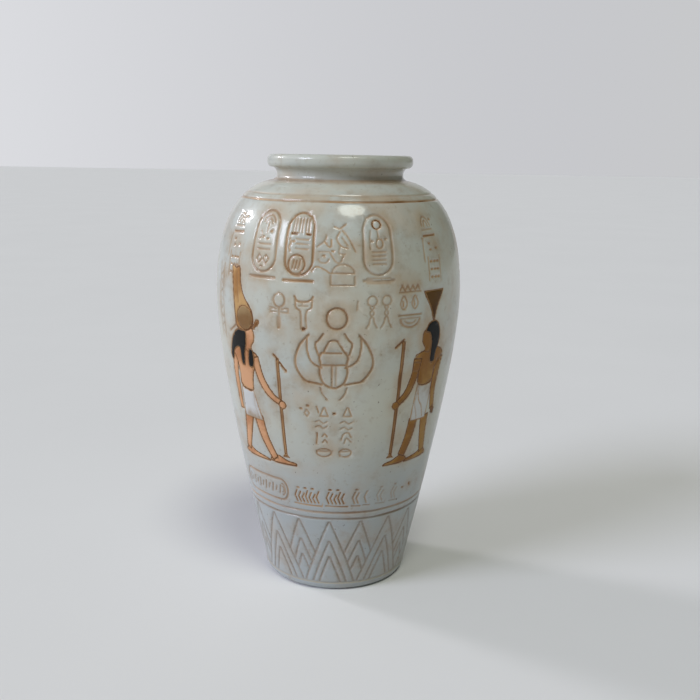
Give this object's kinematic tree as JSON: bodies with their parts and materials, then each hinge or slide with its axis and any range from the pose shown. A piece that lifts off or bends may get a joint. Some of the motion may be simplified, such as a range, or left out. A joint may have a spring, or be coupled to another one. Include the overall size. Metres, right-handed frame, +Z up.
{
  "type": "egyptian style jar",
  "caption": "Tall open jar with a narrow foot, high wide shoulder, short neck and rounded lip, carved all round with figures, a scarab, cartouches and chevrons; holds dry things or a liner",
  "frame": {"origin": "centre of the flat underside, on the surface the jar stands on", "axes": "+Z up along the jar's axis; the carved front, with the scarab, faces -Y; +X is to the right of someone who faces the front"},
  "size_m": [0.24, 0.24, 0.42],
  "materials": {
    "varnished_body": "gloss varnish over a pale body, with tan stain in the carving and painted figures"
  },
  "bodies": {
    "root": {"jar": "varnished_body"}
  },
  "joints": []
}
